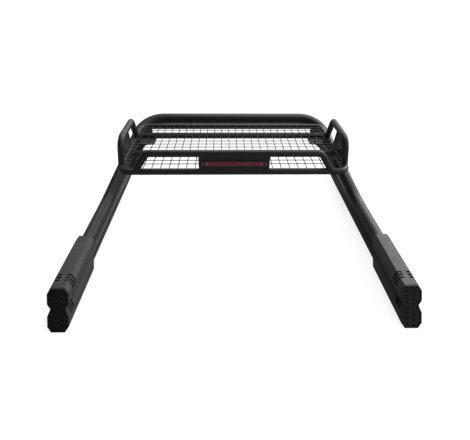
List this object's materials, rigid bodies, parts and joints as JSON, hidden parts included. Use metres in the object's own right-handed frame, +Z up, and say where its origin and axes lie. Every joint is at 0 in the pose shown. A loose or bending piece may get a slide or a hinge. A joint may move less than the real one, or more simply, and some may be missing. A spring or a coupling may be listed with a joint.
{
  "type": "headache rack",
  "caption": "Pickup bed headache rack: bent black tube legs and hoop carrying a welded wire luggage basket with side rails, a rear lamp panel and moulded leg covers.",
  "frame": {"origin": "midway between the two legs, midway between the front of the hoop and the rear of the leg covers, in the plane of the rubber pads that rest on the bed rails", "axes": "+X across the truck to the right side, +Y forwards to the cab, +Z up"},
  "size_m": [1.8072, 1.64, 0.6589],
  "materials": {
    "frame_paint": "satin black powder coat",
    "basket_paint": "satin black powder coat",
    "wire_paint": "satin black powder coat on welded wire",
    "sheet_paint": "satin black powder coat on sheet",
    "cover_plastic": "fine grained dark grey moulding",
    "cap_plastic": "matt black moulding with honeycomb cells",
    "plug_plastic": "matt black moulding",
    "soft_rubber": "black rubber",
    "lamp_black": "gloss black moulding",
    "lens_red": "dark red tinted lens",
    "board_green": "circuit board laminate",
    "led_pale": "LED packages",
    "screw_steel": "plain steel pan heads",
    "fastener_black": "black zinc"
  },
  "bodies": {
    "root": {"main_hoop": "frame_paint", "lower_rail_tube_right": "frame_paint", "lower_rail_tube_left": "frame_paint", "tube_end_plugs": "plug_plastic", "stitch_welds_right": "frame_paint", "stitch_welds_left": "frame_paint", "corner_gusset_right": "frame_paint", "corner_gusset_left": "frame_paint", "foot_plate_rear_right": "frame_paint", "foot_plate_rear_left": "frame_paint", "foot_plate_front_right": "frame_paint", "foot_plate_front_left": "frame_paint", "rubber_foot_pads": "soft_rubber", "threaded_bosses": "frame_paint", "foot_saddle_blocks": "frame_paint", "leg_cover_right": "cover_plastic", "leg_cover_left": "cover_plastic", "cover_screws": "fastener_black", "end_cap_right": "cap_plastic", "end_cap_left": "cap_plastic", "basket_frame": "basket_paint", "cross_member_rear": "basket_paint", "cross_member_front": "basket_paint", "side_rail_right": "basket_paint", "side_rail_left": "basket_paint", "floor_wires_crosswise": "wire_paint", "side_panel_right": "sheet_paint", "side_panel_left": "sheet_paint", "light_panel_hoop": "basket_paint", "floor_wires_lengthwise": "wire_paint", "light_box": "sheet_paint", "light_box_back": "sheet_paint", "lamp_gasket": "soft_rubber", "lamp_housing": "lamp_black", "lamp_circuit_board": "board_green", "lamp_leds": "led_pale", "lamp_lens": "lens_red", "lamp_screws": "screw_steel", "lamp_lead": "soft_rubber", "lead_grommet": "soft_rubber", "lead_connector": "plug_plastic", "basket_support_plate_right": "frame_paint", "basket_support_plate_left": "frame_paint", "support_strut_right": "frame_paint", "support_strut_left": "frame_paint", "strut_saddle_right": "frame_paint", "strut_saddle_left": "frame_paint", "saddle_bolts": "fastener_black", "strut_bolts": "fastener_black", "strut_nuts": "fastener_black", "basket_tab_right": "basket_paint", "basket_tab_left": "basket_paint", "hoop_tab_right": "frame_paint", "hoop_tab_left": "frame_paint", "bracket_bolts": "fastener_black", "bracket_nuts": "fastener_black"}
  },
  "joints": []
}
